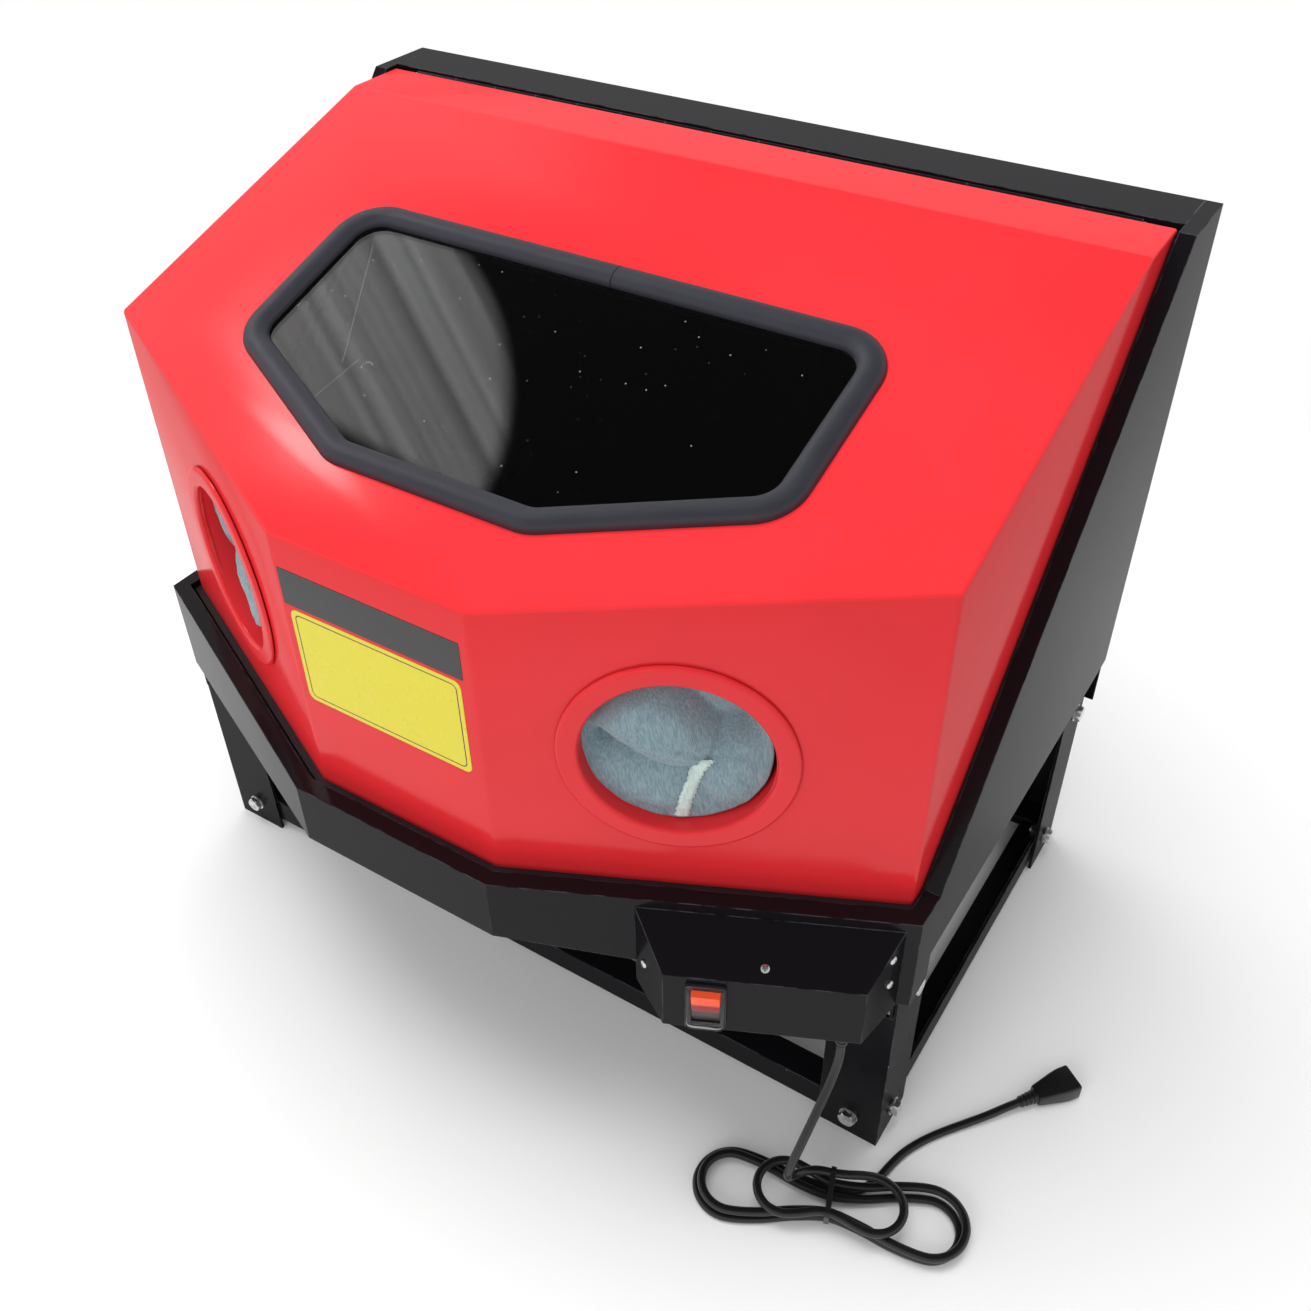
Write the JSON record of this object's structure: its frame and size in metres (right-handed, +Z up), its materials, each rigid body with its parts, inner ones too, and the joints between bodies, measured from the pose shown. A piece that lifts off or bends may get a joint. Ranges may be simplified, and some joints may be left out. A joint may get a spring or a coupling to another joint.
{
  "type": "parts washer cabinet",
  "caption": "Bench-top steel parts washer on bolted angle legs, with a hinged faceted hood, window, glove ports, switch box and mains lead.",
  "frame": {"origin": "on the floor, under the middle of the cabinet's box without the mains lead", "axes": "+X to the right, +Y to the rear, +Z up; the nose and switch box face -Y"},
  "size_m": [0.8475, 0.543, 0.642],
  "materials": {
    "black_paint": "gloss",
    "red_paint": "gloss",
    "seal_rubber": "satin",
    "zinc": "zinc plated",
    "window": "clear",
    "glove_cloth": "woven lining",
    "switch_plastic": "matte",
    "rocker_red": "translucent gloss",
    "clear_boot": "clear",
    "cord_rubber": "satin",
    "brass": "plain"
  },
  "bodies": {
    "tank": {"tank_front": "black_paint", "tank_side_left": "black_paint", "tank_side_right": "black_paint", "tank_rear": "black_paint", "tank_floor": "black_paint", "rim_seal": "seal_rubber", "leg_front_left": "black_paint", "leg_front_right": "black_paint", "leg_rear_left": "black_paint", "leg_rear_right": "black_paint", "rail_front": "black_paint", "rail_rear": "black_paint", "rail_left": "black_paint", "rail_right": "black_paint", "leg_bolts": "zinc", "leg_washers": "zinc", "leg_nuts": "zinc", "hinge_leaf_tank": "black_paint", "hinge_pin": "zinc", "control_box": "black_paint", "box_screws": "zinc", "switch_housing": "switch_plastic", "switch_boot": "clear_boot", "cord_gland": "cord_rubber", "cord_drop": "cord_rubber", "cord_hank": "cord_rubber", "cord_tie": "cord_rubber", "cord_lead": "cord_rubber", "plug": "cord_rubber", "work_shelf": "zinc", "shelf_bracket_left": "black_paint", "shelf_bracket_right": "black_paint", "pump_screen": "switch_plastic", "pump_body": "switch_plastic", "pump_hose": "seal_rubber", "spout": "zinc", "spout_bracket": "black_paint", "cable_gland": "switch_plastic", "pump_cable": "cord_rubber", "drain_bung": "zinc", "drain_plug": "brass"},
    "hood": {"hood_top": "red_paint", "hood_front": "red_paint", "hood_side_left": "red_paint", "hood_side_right": "red_paint", "window_pane": "window", "window_trim": "seal_rubber", "port_ring_left": "red_paint", "port_ring_right": "red_paint", "glove_left": "glove_cloth", "glove_right": "glove_cloth", "glove_clamp_left": "zinc", "glove_clamp_right": "zinc", "hinge_leaf_hood": "black_paint"},
    "rocker": {"rocker": "rocker_red"}
  },
  "joints": [
    {"name": "hood_hinge", "type": "hinge", "parent": "tank", "child": "hood", "pos_m": [0, 0.2185, 0.638], "axis": [-1, 0, 0], "range_deg": [0, 95]},
    {"name": "rocker_tilt", "type": "hinge", "parent": "tank", "child": "rocker", "pos_m": [0.249, -0.234, 0.223], "axis": [-0.9063, -0.4226, 0], "range_deg": [0, 20]}
  ]
}
